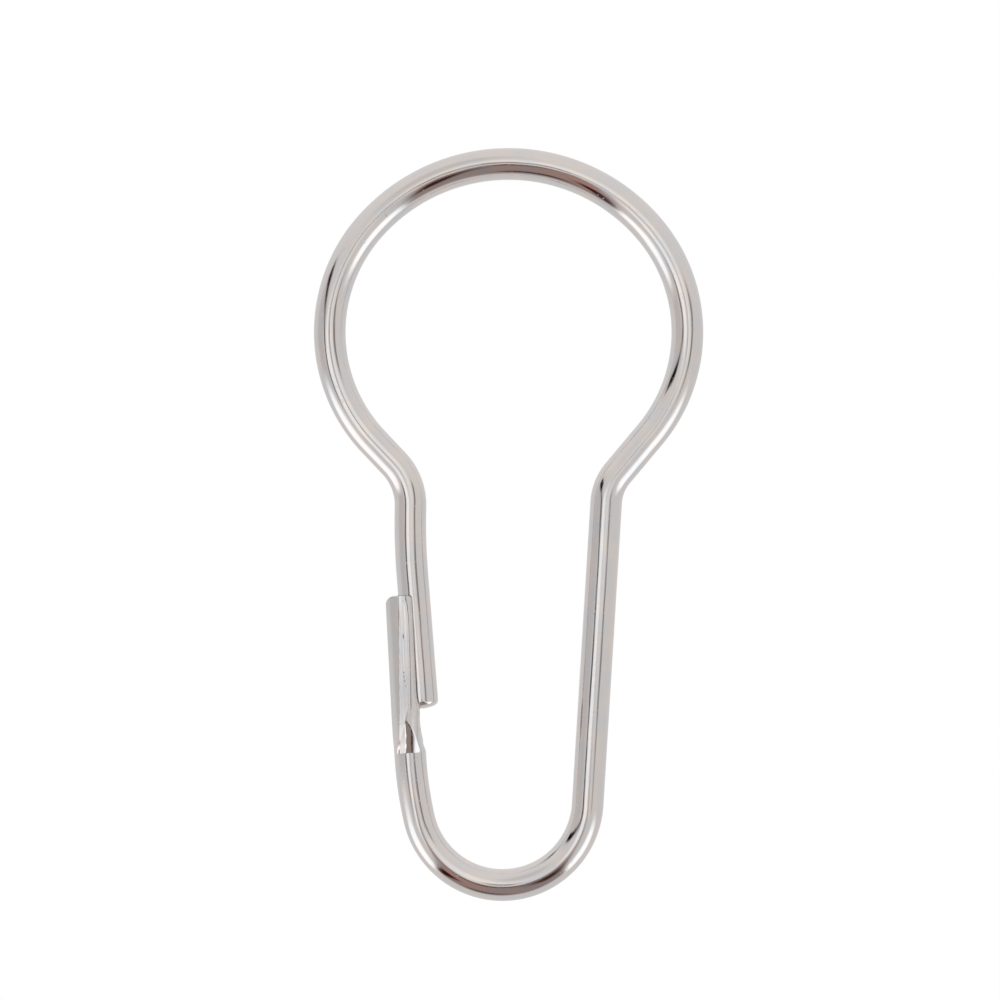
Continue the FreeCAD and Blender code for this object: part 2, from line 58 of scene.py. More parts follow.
# %% [markdown]
# ## Sizes of the wire
# A wire former reads a bend sheet: so much straight, then a bend of this radius through this
# angle. The same sheet is kept here, from the free leg's tip up round the loop and down to the
# crease where the pressed end starts. A turn to the left is positive, seen from the front.
# Lengths are in millimetres and turns in degrees.

# %% The bend sheet
WIRE_RADIUS = 1.5
TIP_PLACE = (-8.098, -34.0)
TIP_HEADING = 94.5
BEND_SHEET = [
    ("free_leg", "straight", 11.463, 0),
    ("gate_sweep", "bend", 61.3, -5.9),
    ("gate_neck", "bend", 5.6, 44.8),
    ("gate_flank", "straight", 2.84, 0),
    ("loop_left", "bend", 14.87, -83.417),
    ("loop_crown", "bend", 17.279, -99.966),
    ("loop_right", "bend", 14.87, -80.017),
    ("back_flank", "straight", 4.69, 0),
    ("back_neck", "bend", 4.73, 36.5),
    ("long_leg", "straight", 28.325, 0),
    ("bow", "bend", 7.982, -164.075),
    ("bow_lead", "bend", 38.0, -9.425),
]
LATCH_HEADING = 93.0
LATCH_LENGTH = 14.65


def heading_way(degrees):
    """A unit vector in the hook's plane, for a heading measured from +X towards +Z."""
    angle = math.radians(degrees)
    return Vector((math.cos(angle), 0, math.sin(angle)))


def walk(sheet):
    """Each stroke of the bend sheet: where it starts, its heading there and its arc's centre."""
    place = Vector((TIP_PLACE[0], 0, TIP_PLACE[1]))
    heading = TIP_HEADING
    done = 0
    strokes = []
    for name, kind, size, turn in sheet:
        stroke = {"name": name, "kind": kind, "size": size, "turn": turn,
                  "start": place.copy(), "heading": heading, "done": done}
        if kind == "straight":
            place = place + heading_way(heading) * size
            done += size
        else:
            side = math.copysign(1, turn)
            centre = place + heading_way(heading + 90 * side) * size
            stroke["centre"] = centre
            heading += turn
            place = centre - heading_way(heading + 90 * side) * size
            done += size * math.radians(abs(turn))
        strokes.append(stroke)
    return strokes, place, heading, done


route, crease, crease_heading, wire_run = walk(BEND_SHEET)
print("wire run, mm:", round(wire_run, 1), "crease at", [round(v, 2) for v in crease])
print("heading at the crease", round(crease_heading % 360, 2), "of", LATCH_HEADING)

# %% [markdown]
# ## The round wire
# A curve with a round bevel would give the same tube. Here it is made the way the wire is
# bent: a small ring at the tip is drawn out along each straight with extrude, and carried round
# each bend with spin, whose axis stands across the hook. Rings are close together, because
# a mirror finish shows every facet.

# %% Tools for the wire
ROUND = 96
BEND_STEP = 1.6
ARC_STEP_MM = 0.55
STRAIGHT_STEP_MM = 1.2


def fresh_start():
    """Leave edit mode and deselect everything, so an operator works on the new piece alone."""
    if bpy.context.mode != "OBJECT":
        bpy.ops.object.mode_set(mode="OBJECT")
    bpy.ops.object.select_all(action="DESELECT")


def select_rims():
    """Select the edges that have only one face."""
    bpy.ops.mesh.select_all(action="DESELECT")
    bpy.ops.mesh.select_mode(type="EDGE")
    bpy.ops.mesh.select_non_manifold(extend=False, use_boundary=True, use_wire=False,
                                     use_multi_face=False, use_non_contiguous=False,
                                     use_verts=False)


def draw_out(way, length, steps):
    """Extrude the selected ring along a straight."""
    for _ in range(steps):
        move = way * (length * MM / steps)
        bpy.ops.mesh.extrude_region_move(TRANSFORM_OT_translate={"value": tuple(move)})


def carry_round(stroke):
    """Spin the selected ring round a bend."""
    turn = abs(stroke["turn"])
    run = stroke["size"] * math.radians(turn)
    steps = max(2, math.ceil(turn / BEND_STEP), math.ceil(run / ARC_STEP_MM))
    bpy.ops.mesh.spin(steps=steps, angle=math.radians(stroke["turn"]),
                      center=tuple(stroke["centre"] * MM), axis=(0, 1, 0))


# %% [markdown]
# The cut end of the free leg is tumbled to a shallow dome with a rounded corner. Its side view
# is two arcs that touch, so the ring starts tiny at the dome's middle, and each extrude
# moves it up the leg and scales it to the radius that the arcs give there.

# %% The domed tip
DOME_RADIUS = 2.85
CORNER_RADIUS = 0.6
TIP_LENGTH = 1.2
DOME_STEPS = 14
CORNER_STEPS = 12


def tip_profile():
    """(radius, height over the tip's base) up the dome and its rounded corner."""
    middle = DOME_RADIUS - TIP_LENGTH
    inset = WIRE_RADIUS - CORNER_RADIUS
    fall = math.sqrt((DOME_RADIUS - CORNER_RADIUS) ** 2 - inset ** 2)
    meet = math.atan2(-fall, inset)
    places = []
    for step in range(1, DOME_STEPS + 1):
        angle = -math.pi / 2 + (meet + math.pi / 2) * step / DOME_STEPS
        places.append((DOME_RADIUS * math.cos(angle), middle + DOME_RADIUS * math.sin(angle)))
    for step in range(1, CORNER_STEPS + 1):
        angle = meet * (1 - step / CORNER_STEPS)
        places.append((inset + CORNER_RADIUS * math.cos(angle),
                       middle - fall + CORNER_RADIUS * math.sin(angle)))
    places.append((WIRE_RADIUS, 0))
    return places


def start_tip():
    """The dome, left in edit mode with its last ring selected at the leg's start."""
    way = heading_way(TIP_HEADING)
    base = Vector((TIP_PLACE[0], 0, TIP_PLACE[1]))
    places = tip_profile()
    radius, height = places[0]
    spot = (base + way * height) * MM
    fresh_start()
    bpy.ops.mesh.primitive_circle_add(vertices=ROUND, radius=radius * MM, fill_type="TRIFAN",
                                      location=spot,
                                      rotation=(0, math.radians(90 - TIP_HEADING), 0))
    wire = bpy.context.object
    wire.name = "plated_hook"
    bpy.ops.object.transform_apply(location=True, rotation=True, scale=True)
    bpy.ops.object.mode_set(mode="EDIT")
    # the fan's middle stays behind when only the open rim is selected
    select_rims()
    for wider, higher in places[1:]:
        draw_out(way, higher - height, 1)
        centre = (base + way * higher) * MM
        bpy.ops.transform.resize(value=(wider / radius,) * 3, center_override=tuple(centre))
        radius, height = wider, higher
    return wire


print("tip profile, mm:", [tuple(round(v, 2) for v in place) for place in tip_profile()[::9]])

# %% [markdown]
# ## Drawing the wire
# A bending machine feeds straight wire and turns it round its pins, one bend after another.
# The steps here keep that order. A straight length is extruded from the open ring, and a bend
# carries the ring round the pin's own centre. Every radius on the bend sheet is then a true
# arc, and the wire stays round from the tip to the crease.

# %% Draw the wire along the bend sheet
def bend_wire():
    """The whole round wire as one open-ended tube, from the domed tip to the crease."""
    wire = start_tip()
    for stroke in route:
        if stroke["kind"] == "straight":
            steps = math.ceil(stroke["size"] / STRAIGHT_STEP_MM)
            draw_out(heading_way(stroke["heading"]), stroke["size"], steps)
        else:
            carry_round(stroke)
    mesh = bmesh.from_edit_mesh(wire.data)
    ring = [vert.co for vert in mesh.verts if vert.select]
    middle = sum(ring, Vector()) / len(ring)
    print("last ring:", len(ring), "points, off the crease by",
          round((middle / MM - crease).length, 4), "mm")
    fresh_start()
    return wire


hook = bend_wire()
print("wire:", len(hook.data.polygons), "faces")

# %% [markdown]
# ## The pressed end
# A press flattens the wire's other end between dies and leaves a rounded box section with
# a slot for the free leg. A section across it has a flat web at the back, two flat walls,
# lips at the open side and the round slot. All of it changes on the way up: the crease is still
# round, the flare widens at once, and the scooped slot starts in the flare.
# One ring is drawn from that section, extruded up the channel, and each new ring is set
# to the section at its own height. `along` is the height over the crease.

# %% Sizes of the pressed end
# along, half width, lip, back corner (depth, width), lip corner (depth, width)
SECTION_KEYS = [
    (0.0, 1.93, 1.50, 0.58, 1.45, 2.42, 1.90),
    (0.9, 2.21, 1.28, 0.61, 1.25, 2.12, 1.80),
    (2.0, 2.28, 1.22, 0.68, 1.05, 1.75, 1.60),
    (3.9, 2.30, 1.20, 0.78, 0.92, 1.20, 1.15),
    (5.7, 2.30, 0.95, 0.86, 0.92, 0.72, 0.72),
    (12.0, 2.30, 0.95, 1.18, 1.00, 0.50, 0.55),
    (13.6, 2.30, 0.95, 1.25, 1.00, 0.60, 0.60),
    (14.65, 2.30, 0.95, 1.27, 1.00, 0.95, 0.66),
    (16.0, 2.30, 0.95, 1.27, 1.00, 0.95, 0.66),
]
BACK_KEYS = [(0.0, 1.52), (0.6, 1.5), (16.0, 1.5)]
# how much of the back corner is a flat bevel, and how much the wall leans out towards the lip
BEVEL_SHARE = 0.65
WALL_LEAN = 0.03
# the height by which both have come in, from nothing at the crease
PRESSED_BY = 1.6
# the pressed wall falls off to the round core, which itself swells upwards to meet the wall
WALL_FALL = 0.8
CORE_SWELL = 0.27
SLOT_RADIUS = 1.65
SLOT_MIDDLE = 1.13
SCOOP_RADIUS = 4.5
SCOOP_HEIGHT = 5.2
SLOT_EDGE = 0.07
LEAST_SLOT = 0.30
LEAST_LIP = 0.02
OVERRUN = 0.8


def between(keys, along, column):
    """A smooth value of a column of the keys at a height, with no overshoot."""
    heights = [key[0] for key in keys]
    values = [key[column] for key in keys]
    if along <= heights[0]:
        return values[0]
    slopes = [(b - a) / (h - g) for g, h, a, b in
              zip(heights, heights[1:], values, values[1:])]
    tangents = [slopes[0]]
    for low, high in zip(slopes, slopes[1:]):
        tangents.append(0 if low * high <= 0 else 2 * low * high / (low + high))
    tangents.append(slopes[-1])
    for k, (g, h) in enumerate(zip(heights, heights[1:])):
        if along <= h:
            width = h - g
            t = (along - g) / width
            return (values[k] * (1 + 2 * t) * (1 - t) ** 2 + values[k + 1] * t * t * (3 - 2 * t)
                    + tangents[k] * width * t * (1 - t) ** 2
                    - tangents[k + 1] * width * t * t * (1 - t))
    return values[-1]


def section_at(along):
    """The section's sizes at a height, by name."""
    names = ("half", "lip", "back_deep", "back_wide", "lip_deep", "lip_wide")
    size = {name: between(SECTION_KEYS, along, column)
            for column, name in enumerate(names, start=1)}
    size["back"] = between(BACK_KEYS, along, 1)
    return size


print("section at half height:", {name: round(v, 2) for name, v in section_at(7.3).items()})

# %% [markdown]
# The slot is the path of a round punch: straight along the channel, then out of the
# metal along an arc. At each height its floor is a curve over the width, and it shows only
# where it lies below the lips. Where the two meet, the section turns the corner on a
# small rounded edge.

# %% The slot's floor and the lips
def lip_line(size, across):
    """How far the open side stands inward at a distance across the channel."""
    past = abs(across) - (size["half"] - size["lip_wide"])
    if past <= 0:
        return size["lip"]
    share = min(1, past / size["lip_wide"])
    return size["lip"] - size["lip_deep"] * (1 - math.sqrt(1 - share * share))


def slot_floor(along, angle):
    """(across, inward) of the slot at an angle round the punch, 0 at its deepest."""
    across = SLOT_RADIUS * math.sin(angle)
    reach = SCOOP_RADIUS + SLOT_RADIUS * math.cos(angle)
    drop = max(0, SCOOP_HEIGHT - along)
    if drop >= reach:
        return across, SLOT_MIDDLE + SCOOP_RADIUS
    return across, SLOT_MIDDLE + SCOOP_RADIUS - math.sqrt(reach ** 2 - drop ** 2)


def slot_edge_angle(size, along):
    """The angle round the punch where the slot's wall comes out through the lip."""
    low, high = 0.0, math.pi / 2
    across, inward = slot_floor(along, low)
    if inward >= lip_line(size, across):
        return 0.0
    for _ in range(40):
        middle = (low + high) / 2
        across, inward = slot_floor(along, middle)
        if inward < lip_line(size, across):
            low = middle
        else:
            high = middle
    return low


for height in (1.0, 3.0, 6.0):
    edge = SLOT_RADIUS * math.sin(slot_edge_angle(section_at(height), height))
    print("slot at", height, "mm up is", round(2 * edge, 2), "mm wide")

# %% [markdown]
# Each section has the same points in the same order: back, corner, wall, lip, slot edge
# and slot floor, on one side and then mirrored on the other. Points of the same number join
# into clean lines up the channel. At the foot the dies bite the sides but spare the front, so
# there the section is also held to the wire's round core.

# %% Points round one section
BACK_POINTS = 9
CORNER_POINTS = 16
WALL_POINTS = 12
LIP_POINTS = 28
EDGE_POINTS = 5
FLOOR_POINTS = 33


def spread(count, ends=True):
    """Shares from 0 to 1, with or without the two ends."""
    if ends:
        return [k / (count - 1) for k in range(count)]
    return [(k + 1) / (count + 1) for k in range(count)]


def foot_reach(size, along, inward, wall_end):
    """How far the foot of the flare stands out: the pressed wall's slope, or the round core."""
    slope = size["half"] - WALL_FALL * (inward - wall_end)
    radius = WIRE_RADIUS + CORE_SWELL * along
    core = math.sqrt(max(0, radius ** 2 - inward ** 2))
    return max(slope, core)


def half_section(along):
    """(inward, across) from the back's middle line round one wall to the slot's edge."""
    size = section_at(along)
    flat_back = size["half"] - size["back_wide"]
    share = min(1, along / PRESSED_BY)
    pressed = share ** 2 * (3 - 2 * share)
    bevel, lean = BEVEL_SHARE * pressed, WALL_LEAN * pressed
    places = []
    for share in spread(CORNER_POINTS):
        angle = share * math.pi / 2
        deep = (1 - bevel) * (1 - math.cos(angle)) + bevel * share
        wide = (1 - bevel) * math.sin(angle) + bevel * share
        places.append((-size["back"] + size["back_deep"] * deep,
                       flat_back + (size["back_wide"] - lean) * wide))
    low = -size["back"] + size["back_deep"]
    high = size["lip"] - size["lip_deep"]
    places += [(low + (high - low) * share, size["half"] - lean * (1 - share))
               for share in spread(WALL_POINTS, ends=False)]
    edge_angle = slot_edge_angle(size, along)
    edge_angle = max(edge_angle, LEAST_SLOT)
    edge_across = SLOT_RADIUS * math.sin(edge_angle)
    outer_across = min(edge_across + SLOT_EDGE, size["half"] - LEAST_LIP)
    for share in spread(LIP_POINTS):
        across = outer_across + (size["half"] - outer_across) * math.cos(share * math.pi / 2)
        inward = lip_line(size, across)
        places.append((inward, min(across, foot_reach(size, along, inward, high))))
    start = places[-1]
    inner_angle = edge_angle - SLOT_EDGE / SLOT_RADIUS
    across, floor = slot_floor(along, inner_angle)
    finish = (min(floor, lip_line(size, across)), across)
    corner = (lip_line(size, edge_across), edge_across)
    for share in spread(EDGE_POINTS, ends=False):
        rest = 1 - share
        places.append(tuple(rest * rest * a + 2 * rest * share * b + share * share * c
                            for a, b, c in zip(start, corner, finish)))
    return places, inner_angle, size


def section_points(along):
    """Every point of one section in order, as places in the row's frame."""
    wall, inner_angle, size = half_section(along)
    back = [(-size["back"], wall[0][1] * (1 - 2 * share))
            for share in spread(BACK_POINTS, ends=False)]
    floor = []
    for share in spread(FLOOR_POINTS):
        angle = inner_angle * (1 - 2 * share)
        across, inward = slot_floor(along, angle)
        floor.append((min(inward, lip_line(size, across)), across))
    outline = wall + floor + [(inward, -across) for inward, across in reversed(wall)]
    outline += [(inward, -across) for inward, across in back]
    up = heading_way(LATCH_HEADING)
    inwards = heading_way(LATCH_HEADING - 90)
    return [(crease + up * along + inwards * inward) * MM + Vector((0, across * MM, 0))
            for inward, across in outline]


print("points round a section:", len(section_points(LATCH_LENGTH)))

# %% [markdown]
# The press forms this end in one stroke. Here it's raised in thin slices, closest together in
# the foot, where the shape changes fastest. The rings run on past the mouth, so that the
# cutter has metal to take off.

# %% Raise the channel ring by ring
CREASE_RISE = 0.03
FOOT_STEP = 0.09
FLARE_STEP = 0.15
CHANNEL_STEP = 0.35
FOOT_END = 1.4
FLARE_END = 6.2


def ring_heights():
    """Heights of the rings: close in the foot and the flare, wider in the channel."""
    heights = [CREASE_RISE]
    while heights[-1] < LATCH_LENGTH + OVERRUN:
        along = heights[-1]
        step = FOOT_STEP if along < FOOT_END else FLARE_STEP if along < FLARE_END else CHANNEL_STEP
        heights.append(min(along + step, LATCH_LENGTH + OVERRUN))
    return heights


def raise_channel():
    """The pressed end, still without the mouth's rounding: a ring extruded and reshaped upwards."""
    first = section_points(CREASE_RISE)
    fresh_start()
    bpy.ops.mesh.primitive_circle_add(vertices=len(first), radius=WIRE_RADIUS * MM)
    channel = bpy.context.object
    channel.name = "pressed_end"
    bpy.ops.object.mode_set(mode="EDIT")
    mesh = bmesh.from_edit_mesh(channel.data)
    mesh.verts.ensure_lookup_table()
    ring = list(mesh.verts)
    for vert, spot in zip(ring, first):
        vert.co = spot
    order = [vert.index for vert in ring]
    for along in ring_heights()[1:]:
        bpy.ops.mesh.extrude_region_move()
        mesh = bmesh.from_edit_mesh(channel.data)
        mesh.verts.ensure_lookup_table()
        raised = []
        for index in order:
            below = mesh.verts[index]
            raised.append(next(edge.other_vert(below) for edge in below.link_edges
                               if edge.other_vert(below).select))
        for vert, spot in zip(raised, section_points(along)):
            vert.co = spot
        mesh.verts.index_update()
        order = [vert.index for vert in raised]
    bmesh.update_edit_mesh(channel.data)
    close_rims()
    fresh_start()
    return channel


def split_big_faces():
    """Cut faces of many sides into triangles, which the cutters handle more surely."""
    bpy.ops.mesh.select_mode(type="FACE")
    bpy.ops.mesh.select_face_by_sides(number=4, type="GREATER", extend=False)
    bpy.ops.mesh.quads_convert_to_tris(ngon_method="BEAUTY")


def close_rims():
    """Fill the pressed end's two open rings, so that cutters work on a closed solid."""
    select_rims()
    bpy.ops.mesh.fill_holes(sides=0)
    split_big_faces()
    bpy.ops.mesh.select_all(action="SELECT")
    bpy.ops.mesh.normals_make_consistent(inside=False)


channel = raise_channel()
print("pressed end:", len(channel.data.polygons), "faces")

# %% [markdown]
# ## The mouth and the tool marks
# The channel's mouth is rounded in side view, more at the back than at the lips. A cutter with
# that side view, drawn as a flat face and extruded across the channel, takes off the
# overrun.

# %% Cutters
MOUTH_BACK_ROUND = 0.8
MOUTH_LIP_ROUND = 0.4
ARC_POINTS = 14
CUTTER_SIDE = 4.0
CLEAR = 0.02


def latch_spot(inward, along, across=0.0):
    """A place given in the pressed end's own directions, in metres."""
    up = heading_way(LATCH_HEADING)
    inwards = heading_way(LATCH_HEADING - 90)
    spot = crease + up * along + inwards * inward
    return Vector((spot.x, across, spot.z)) * MM


def mouth_side_view():
    """(inward, along) corners of the cutter, its underside rounded down at both ends."""
    back, lip = -WIRE_RADIUS, section_at(LATCH_LENGTH)["lip"]
    low_back, low_lip = LATCH_LENGTH - MOUTH_BACK_ROUND, LATCH_LENGTH - MOUTH_LIP_ROUND
    top = LATCH_LENGTH + CUTTER_SIDE
    # each arc starts one step in, so that no face of the cutter touches the metal edge on
    places = [(back - CUTTER_SIDE, low_back), (back - CLEAR, low_back)]
    for share in spread(ARC_POINTS)[1:]:
        angle = math.pi - share * math.pi / 2
        places.append((back + MOUTH_BACK_ROUND * (1 + math.cos(angle)),
                       low_back + MOUTH_BACK_ROUND * math.sin(angle)))
    for share in spread(ARC_POINTS)[:-1]:
        angle = math.pi / 2 * (1 - share)
        places.append((lip - MOUTH_LIP_ROUND * (1 - math.cos(angle)),
                       low_lip + MOUTH_LIP_ROUND * math.sin(angle)))
    return places + [(lip + CLEAR, low_lip), (lip + CUTTER_SIDE, low_lip),
                     (lip + CUTTER_SIDE, top), (back - CUTTER_SIDE, top)]


def cut(piece, cutter):
    """Take the cutter's volume out of the piece, then delete the cutter."""
    fresh_start()
    bpy.context.view_layer.objects.active = piece
    piece.select_set(True)
    trim = piece.modifiers.new("cut", "BOOLEAN")
    trim.operation = "DIFFERENCE"
    trim.solver = "EXACT"
    trim.object = cutter
    bpy.ops.object.modifier_apply(modifier=trim.name)
    bpy.data.objects.remove(cutter)
    bpy.ops.object.mode_set(mode="EDIT")
    split_big_faces()
    fresh_start()


def mouth_cutter():
    """A block over the mouth with the rounding as its underside."""
    corners = mouth_side_view()
    fresh_start()
    bpy.ops.mesh.primitive_circle_add(vertices=len(corners), radius=MM, fill_type="NGON")
    block = bpy.context.object
    bpy.ops.object.mode_set(mode="EDIT")
    mesh = bmesh.from_edit_mesh(block.data)
    mesh.verts.ensure_lookup_table()
    for vert, (inward, along) in zip(mesh.verts, corners):
        vert.co = latch_spot(inward, along, -CUTTER_SIDE)
    bmesh.update_edit_mesh(block.data)
    bpy.ops.mesh.extrude_region_move(
        TRANSFORM_OT_translate={"value": (0, 2 * CUTTER_SIDE * MM, 0)})
    bpy.ops.mesh.select_all(action="SELECT")
    bpy.ops.mesh.normals_make_consistent(inside=False)
    fresh_start()
    return block


before_cut = len(channel.data.polygons)
cut(channel, mouth_cutter())
print("mouth rounded:", before_cut, "->", len(channel.data.polygons), "faces")

# %% [markdown]
# The die left a few short nicks on the front wall. Long thin ellipsoids cut them, so that each
# has a real floor. They come out darker than the pale nicks of a real hook.

# %% Nicks on the front wall
# inward and along of each nick, and its half length, in millimetres
NICKS = [
    (0.06, 10.65, 0.24),
    (-0.08, 7.42, 0.23),
    (-0.06, 7.02, 0.22),
    (-0.02, 6.62, 0.22),
    (0.0, 6.22, 0.16),
]
NICK_HALF_HEIGHT = 0.11
NICK_DEPTH = 0.04
NICK_SLANT = 58.0


def nick_cutter(inward, along, half_length):
    """A thin ellipsoid whose lower part is under the wall's face."""
    face = section_at(along)["half"] - WALL_LEAN / 3
    fresh_start()
    bpy.ops.mesh.primitive_uv_sphere_add(segments=28, ring_count=16, radius=MM)
    nick = bpy.context.object
    stretch = Matrix.Diagonal((half_length, 2 * NICK_DEPTH, NICK_HALF_HEIGHT, 1))
    slant = Matrix.Rotation(math.radians(NICK_SLANT), 4, "Y")
    spot = Matrix.Translation(latch_spot(inward, along, -face - NICK_DEPTH))
    nick.data.transform(spot @ slant @ stretch)
    return nick


for nick in NICKS:
    cut(channel, nick_cutter(*nick))
print("with nicks:", len(channel.data.polygons), "faces")

# %% [markdown]
# Drawing leaves fine lines along a wire, so the plating needs to know which way the wire
# runs at every point. Each point keeps where it lies in the wire's own directions: how far inward
# and across from the middle line, and how far along it from the cut end.

# %% Which way the wire runs
CHANNEL_STROKE = {"kind": "straight", "size": LATCH_LENGTH, "turn": 0, "start": crease,
                  "heading": LATCH_HEADING, "done": wire_run}


def place_on(stroke, spot):
    """(how far past its ends, inward, along) of a spot against one stroke of the bend sheet."""
    if stroke["kind"] == "straight":
        offset = spot - stroke["start"]
        run = offset.dot(heading_way(stroke["heading"]))
        inward = offset.dot(heading_way(stroke["heading"] - 90))
        length = stroke["size"]
    else:
        side = math.copysign(1, stroke["turn"])
        first = heading_way(stroke["heading"] - 90 * side)
        spoke = spot - stroke["centre"]
        turned = math.atan2(side * (first.x * spoke.z - first.z * spoke.x), first.dot(spoke))
        run = turned * stroke["size"]
        inward = (spoke.length - stroke["size"]) * side
        length = math.radians(abs(stroke["turn"])) * stroke["size"]
    return max(-run, run - length, 0), inward, stroke["done"] + run


def note_run(piece, strokes):
    """Give every point its place in the wire's own directions, in millimetres."""
    marks = piece.data.attributes.new("wire_run", "FLOAT_VECTOR", "POINT")
    for vert, mark in zip(piece.data.vertices, marks.data):
        spot = Vector((vert.co.x, 0, vert.co.z)) / MM
        past, inward, along = min((place_on(stroke, spot) for stroke in strokes),
                                  key=lambda place: 10 * place[0] + abs(place[1]))
        mark.vector = (inward, vert.co.y / MM, along)


note_run(hook, route)
note_run(channel, [CHANNEL_STROKE])
runs = [mark.vector.z for mark in hook.data.attributes["wire_run"].data]
print("along the wire, mm:", round(min(runs), 1), "to", round(max(runs), 1))

# %% [markdown]
# ## One piece of metal
# The wire and its pressed end are one piece, so the two open rings at the crease are bridged.
# At the front the rings are almost flush. Toward the back the pressed end stands about 0.4 mm
# wider on each side. Both rims are marked sharp, which draws the die's line across the wire.
# The true height of that step can't be seen from the front, so it is a guess.

# %% Bridge the crease
def join_at_crease():
    """Open the pressed end's foot, and make it and the wire one closed mesh."""
    fresh_start()
    up = heading_way(LATCH_HEADING)
    foot = (crease + up * CREASE_RISE) * MM
    channel.select_set(True)
    bpy.context.view_layer.objects.active = channel
    bpy.ops.object.mode_set(mode="EDIT")
    bpy.ops.mesh.select_mode(type="FACE")
    bpy.ops.mesh.select_all(action="DESELECT")
    mesh = bmesh.from_edit_mesh(channel.data)
    for face in mesh.faces:
        face.select = abs((face.calc_center_median() - foot).dot(up)) < MM / 1000
    bmesh.update_edit_mesh(channel.data)
    bpy.ops.mesh.delete(type="FACE")
    fresh_start()
    channel.select_set(True)
    hook.select_set(True)
    bpy.context.view_layer.objects.active = hook
    bpy.ops.object.join()
    bpy.ops.object.mode_set(mode="EDIT")
    select_rims()
    bpy.ops.mesh.mark_sharp()
    bpy.ops.mesh.bridge_edge_loops()
    bpy.ops.mesh.select_all(action="SELECT")
    bpy.ops.mesh.normals_make_consistent(inside=False)
    fresh_start()


join_at_crease()
print("joined:", len(hook.data.polygons), "faces")

# %% [markdown]
# Cutting and bridging leave doubled points. They're merged, the faces are turned outwards, and
# everything is smoothed but the real edges: the crease, the slot's edge and the mouth. In a
# closed mesh every edge has two faces, and the last lines count those that don't.

# %% Clean and smooth
SHARP_ANGLE = 32.0


def finish_mesh(piece):
    """Merge doubles, point the faces outwards and smooth all but the real edges."""
    fresh_start()
    bpy.context.view_layer.objects.active = piece
    piece.select_set(True)
    bpy.ops.object.mode_set(mode="EDIT")
    bpy.ops.mesh.select_all(action="SELECT")
    bpy.ops.mesh.remove_doubles(threshold=1e-8)
    bpy.ops.mesh.normals_make_consistent(inside=False)
    fresh_start()
    piece.select_set(True)
    bpy.context.view_layer.objects.active = piece
    bpy.ops.object.shade_smooth_by_angle(angle=math.radians(SHARP_ANGLE))


finish_mesh(hook)
test = bmesh.new()
test.from_mesh(hook.data)
loose = sum(1 for edge in test.edges if len(edge.link_faces) != 2)
print("faces", len(test.faces), "open or odd edges", loose,
      "volume, cubic mm", round(test.calc_volume() / MM ** 3, 1))
test.free()

# %% [markdown]
# ## Bright plating
# The next cell only shortens the node writing: a value is fed to a socket, a Math or
# Vector Math node gives its result, and a smooth ramp goes between two levels.

# %% Shader helpers
def feed(tree, value, socket):
    """Link a socket, or set a plain value."""
    if isinstance(value, bpy.types.NodeSocket):
        tree.links.new(value, socket)
    else:
        socket.default_value = value


def compute(tree, operation, *values):
    """A Math node's result."""
    node = tree.nodes.new("ShaderNodeMath")
    node.operation = operation
    for socket, value in zip(node.inputs, values):
        feed(tree, value, socket)
    return node.outputs[0]


def combine(tree, operation, *values, result=0):
    """A Vector Math node's result; result 1 is its number."""
    node = tree.nodes.new("ShaderNodeVectorMath")
    node.operation = operation
    for socket, value in zip(node.inputs, values):
        feed(tree, value, socket)
    return node.outputs[result]


def ease(tree, value, low, high, start=0.0, stop=1.0):
    """Rise smoothly from start at low to stop at high."""
    node = tree.nodes.new("ShaderNodeMapRange")
    node.interpolation_type = "SMOOTHSTEP"
    limits = {"From Min": low, "From Max": high, "To Min": start, "To Max": stop}
    for name, number in limits.items():
        node.inputs[name].default_value = number
    feed(tree, value, node.inputs["Value"])
    return node.outputs["Result"]


# %% [markdown]
# Chrome over drawn wire is a mirror that isn't quite perfect. Its fine lines run along the
# wire, so the noise that makes them is stretched along `wire_run`. A slow wave under the plating
# bends the reflections a little, small pits catch the light, and the polish is uneven. The metal
# itself is slightly warmer in some places and cooler in others.

# %% Plating
WARM_PLATE = (0.80, 0.765, 0.745, 1)
COOL_PLATE = (0.745, 0.755, 0.775, 1)
DRAWN_LINES = (4.5, 4.5, 0.06)
SLOW_WAVE = (0.7, 0.7, 0.16)
PITS_PER_MM = 3.2


def noise(tree, spot, scale, detail, roughness=0.5):
    """A Noise Texture's value over a stretched place."""
    node = tree.nodes.new("ShaderNodeTexNoise")
    tree.links.new(combine(tree, "MULTIPLY", spot, scale), node.inputs["Vector"])
    node.inputs["Scale"].default_value = 1
    node.inputs["Detail"].default_value = detail
    node.inputs["Roughness"].default_value = roughness
    return node.outputs[0]


def emboss(tree, height, depth, under=None):
    """A Bump node: height times depth in metres, over the normal below it."""
    node = tree.nodes.new("ShaderNodeBump")
    node.inputs["Distance"].default_value = depth
    tree.links.new(height, node.inputs["Height"])
    if under is not None:
        tree.links.new(under, node.inputs["Normal"])
    return node.outputs["Normal"]


